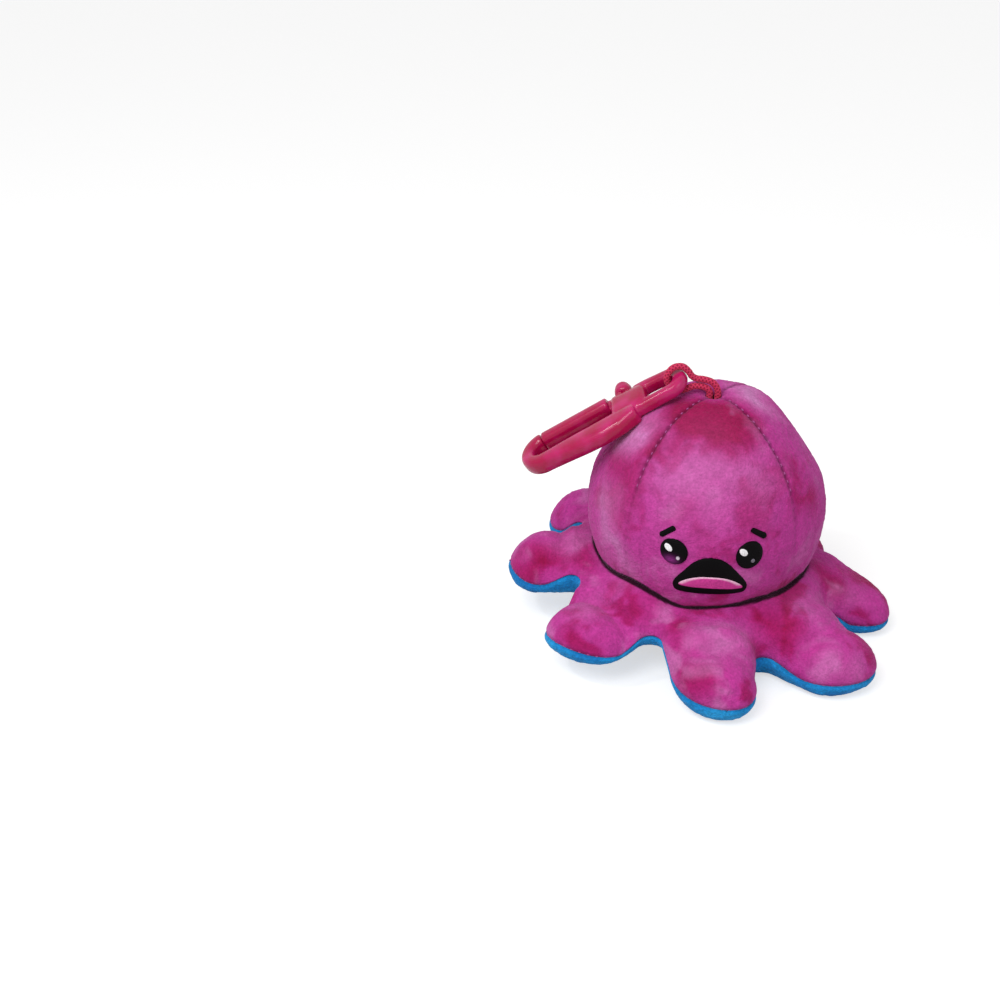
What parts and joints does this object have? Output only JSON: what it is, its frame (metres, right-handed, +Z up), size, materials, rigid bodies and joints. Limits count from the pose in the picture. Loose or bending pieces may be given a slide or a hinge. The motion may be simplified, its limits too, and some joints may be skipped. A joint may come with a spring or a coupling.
{
  "type": "reversible plush octopus bag clip",
  "caption": "Small reversible plush octopus with short round arms, a sad face outside, a happy face in its finger cavity, and a snap clip on a cord loop at the crown.",
  "frame": {"origin": "on the floor that the arms lie on, under the middle of the toy", "axes": "+Z up through the crown; the face looks along -Y; the clip lies down the head's side towards -X"},
  "size_m": [0.1253, 0.1255, 0.0883],
  "materials": {
    "magenta_velour": "short-pile velour, mottled magenta and raspberry",
    "blue_plush": "short-pile plush, bright blue with darker patches",
    "stuffing": "polyester fibre fill",
    "black_thread": "satin-stitch embroidery, slight sheen",
    "white_thread": "satin-stitch embroidery, slight sheen",
    "pink_thread": "satin-stitch embroidery, slight sheen",
    "band_felt": "smooth felt, crimson magenta",
    "flower_felt": "smooth felt, pink",
    "disc_felt": "smooth felt, yellow",
    "clip_plastic": "glossy, slightly translucent moulded plastic",
    "cord_braid": "round braided cord, matt"
  },
  "bodies": {
    "toy": {"head_panel_front": "magenta_velour", "lining_panel_front": "blue_plush", "head_panel_right": "magenta_velour", "lining_panel_right": "blue_plush", "head_panel_back": "magenta_velour", "lining_panel_back": "blue_plush", "head_panel_left": "magenta_velour", "lining_panel_left": "blue_plush", "head_filling": "stuffing", "skirt_filling": "stuffing", "skirt_top": "magenta_velour", "skirt_bottom": "blue_plush", "eyebrow_left": "black_thread", "eye_left": "black_thread", "eye_glint_left": "white_thread", "wink_left": "black_thread", "cheek_left": "pink_thread", "eyebrow_right": "black_thread", "eye_right": "black_thread", "eye_glint_right": "white_thread", "wink_right": "black_thread", "cheek_right": "pink_thread", "mouth": "black_thread", "tongue": "pink_thread", "smile": "black_thread", "headband": "band_felt", "flower_patch": "flower_felt", "flower_disc": "disc_felt"},
    "arm_1": {"arm_1_top": "magenta_velour", "arm_1_bottom": "blue_plush", "arm_1_filling": "stuffing"},
    "arm_2": {"arm_2_top": "magenta_velour", "arm_2_bottom": "blue_plush", "arm_2_filling": "stuffing"},
    "arm_3": {"arm_3_top": "magenta_velour", "arm_3_bottom": "blue_plush", "arm_3_filling": "stuffing"},
    "arm_4": {"arm_4_top": "magenta_velour", "arm_4_bottom": "blue_plush", "arm_4_filling": "stuffing"},
    "arm_5": {"arm_5_top": "magenta_velour", "arm_5_bottom": "blue_plush", "arm_5_filling": "stuffing"},
    "arm_6": {"arm_6_top": "magenta_velour", "arm_6_bottom": "blue_plush", "arm_6_filling": "stuffing"},
    "arm_7": {"arm_7_top": "magenta_velour", "arm_7_bottom": "blue_plush", "arm_7_filling": "stuffing"},
    "arm_8": {"arm_8_top": "magenta_velour", "arm_8_bottom": "blue_plush", "arm_8_filling": "stuffing"},
    "cord": {"cord_loop": "cord_braid"},
    "clip": {"clip_body": "clip_plastic", "clip_pin": "clip_plastic"},
    "gate": {"clip_gate": "clip_plastic"}
  },
  "joints": [
    {"name": "arm_1_flex", "type": "hinge", "parent": "toy", "child": "arm_1", "pos_m": [0, -0.042, 0.0106], "axis": [-1, 0, 0], "range_deg": [-20, 25], "stiffness_Nm_per_rad": 0.02},
    {"name": "arm_2_flex", "type": "hinge", "parent": "toy", "child": "arm_2", "pos_m": [0.0297, -0.0297, 0.0106], "axis": [-0.7071, -0.7071, 0], "range_deg": [-20, 25], "stiffness_Nm_per_rad": 0.02},
    {"name": "arm_3_flex", "type": "hinge", "parent": "toy", "child": "arm_3", "pos_m": [0.042, 0, 0.0106], "axis": [0, -1, 0], "range_deg": [-20, 25], "stiffness_Nm_per_rad": 0.02},
    {"name": "arm_4_flex", "type": "hinge", "parent": "toy", "child": "arm_4", "pos_m": [0.0297, 0.0297, 0.0106], "axis": [0.7071, -0.7071, 0], "range_deg": [-20, 25], "stiffness_Nm_per_rad": 0.02},
    {"name": "arm_5_flex", "type": "hinge", "parent": "toy", "child": "arm_5", "pos_m": [0, 0.042, 0.0106], "axis": [1, 0, 0], "range_deg": [-20, 25], "stiffness_Nm_per_rad": 0.02},
    {"name": "arm_6_flex", "type": "hinge", "parent": "toy", "child": "arm_6", "pos_m": [-0.0297, 0.0297, 0.0106], "axis": [0.7071, 0.7071, 0], "range_deg": [-30, 10], "stiffness_Nm_per_rad": 0.02},
    {"name": "arm_7_flex", "type": "hinge", "parent": "toy", "child": "arm_7", "pos_m": [-0.042, 0, 0.0106], "axis": [0, 1, 0], "range_deg": [-30, 10], "stiffness_Nm_per_rad": 0.02},
    {"name": "arm_8_flex", "type": "hinge", "parent": "toy", "child": "arm_8", "pos_m": [-0.0297, -0.0297, 0.0106], "axis": [-0.7071, 0.7071, 0], "range_deg": [-30, 10], "stiffness_Nm_per_rad": 0.02},
    {"name": "cord_swing", "type": "hinge", "parent": "toy", "child": "cord", "pos_m": [0, 0, 0.0767], "axis": [0, 1, 0], "range_deg": [0, 35]},
    {"name": "clip_swing", "type": "hinge", "parent": "cord", "child": "clip", "pos_m": [-0.01044, 0, 0.08331], "axis": [-0.0852, 0.9877, 0.1312], "range_deg": [0, 40]},
    {"name": "gate_open", "type": "hinge", "parent": "clip", "child": "gate", "pos_m": [-0.02741, 0.00514, 0.07326], "axis": [-0.5379, -0.1564, 0.8283], "range_deg": [0, 11], "stiffness_Nm_per_rad": 0.02, "springref_deg": -11.46}
  ]
}
